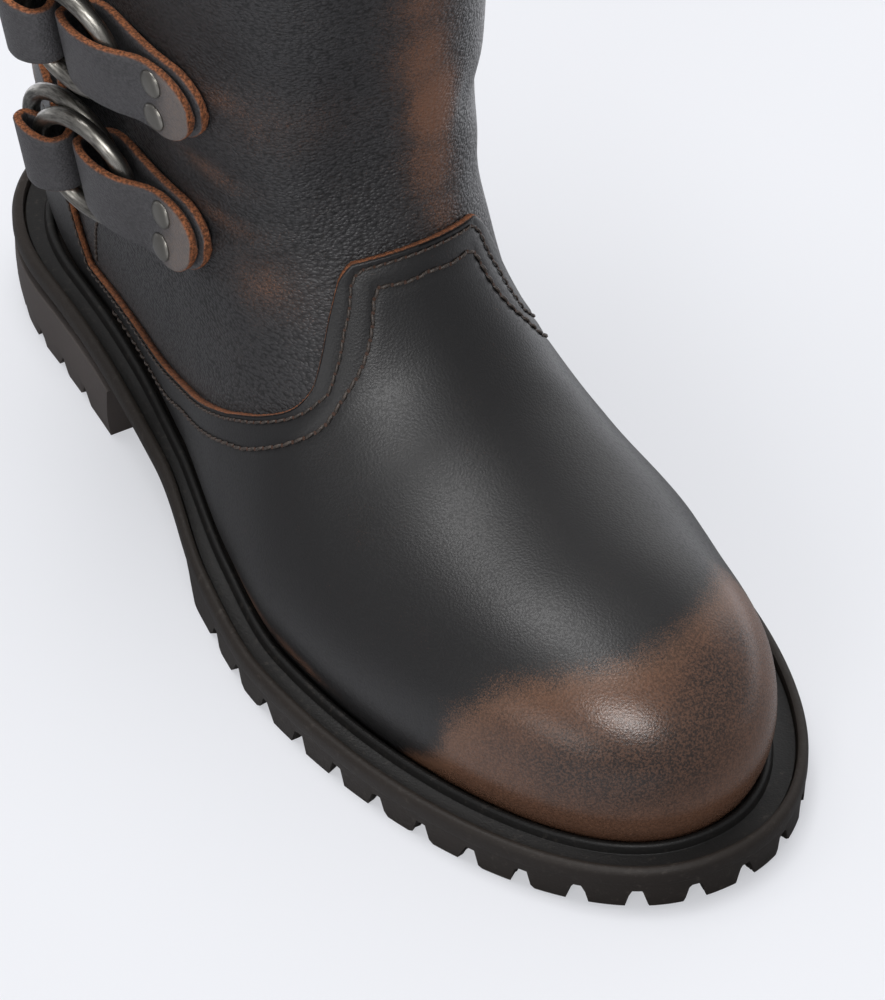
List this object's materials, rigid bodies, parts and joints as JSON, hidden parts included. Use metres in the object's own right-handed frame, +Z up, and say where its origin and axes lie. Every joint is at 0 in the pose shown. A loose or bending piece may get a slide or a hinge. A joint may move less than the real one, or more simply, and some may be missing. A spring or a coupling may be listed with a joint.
{
  "type": "biker boot",
  "caption": "Round-toed pull-on biker boot with a lugged sole, a raised vamp and counter panel, and side straps closed by pairs of rings.",
  "frame": {"origin": "middle of the boot's box, on the floor", "axes": "+Z up, toe toward -Y, inner side of the foot toward +X, straps on the outer side toward -X"},
  "size_m": [0.1178, 0.29, 0.2622],
  "materials": {
    "shaft_leather": "black pebbled leather, softly worn",
    "panel_leather": "black fine-grained leather, waxed, burnished at the toe",
    "welt_rubber": "dark rubber band with a lip",
    "sole_rubber": "black-brown moulded rubber with lugs",
    "heel_rubber": "black-brown moulded rubber",
    "insole_leather": "brown leather board",
    "strap_leather": "grey-black strap leather with raw tan edges",
    "ring_metal": "aged dull metal",
    "rivet_metal": "aged dull metal"
  },
  "bodies": {
    "root": {"upper": "shaft_leather", "vamp_counter_panel": "panel_leather", "welt": "welt_rubber", "outsole": "sole_rubber", "heel_block": "heel_rubber", "insole": "insole_leather", "lower_front_strap": "strap_leather", "lower_back_strap": "strap_leather", "upper_front_strap": "strap_leather", "upper_back_strap": "strap_leather", "lower_front_ring": "ring_metal", "lower_back_ring": "ring_metal", "upper_front_ring": "ring_metal", "upper_back_ring": "ring_metal", "lower_rivet_high": "rivet_metal", "lower_rivet_low": "rivet_metal", "upper_rivet_high": "rivet_metal", "upper_rivet_low": "rivet_metal"}
  },
  "joints": []
}
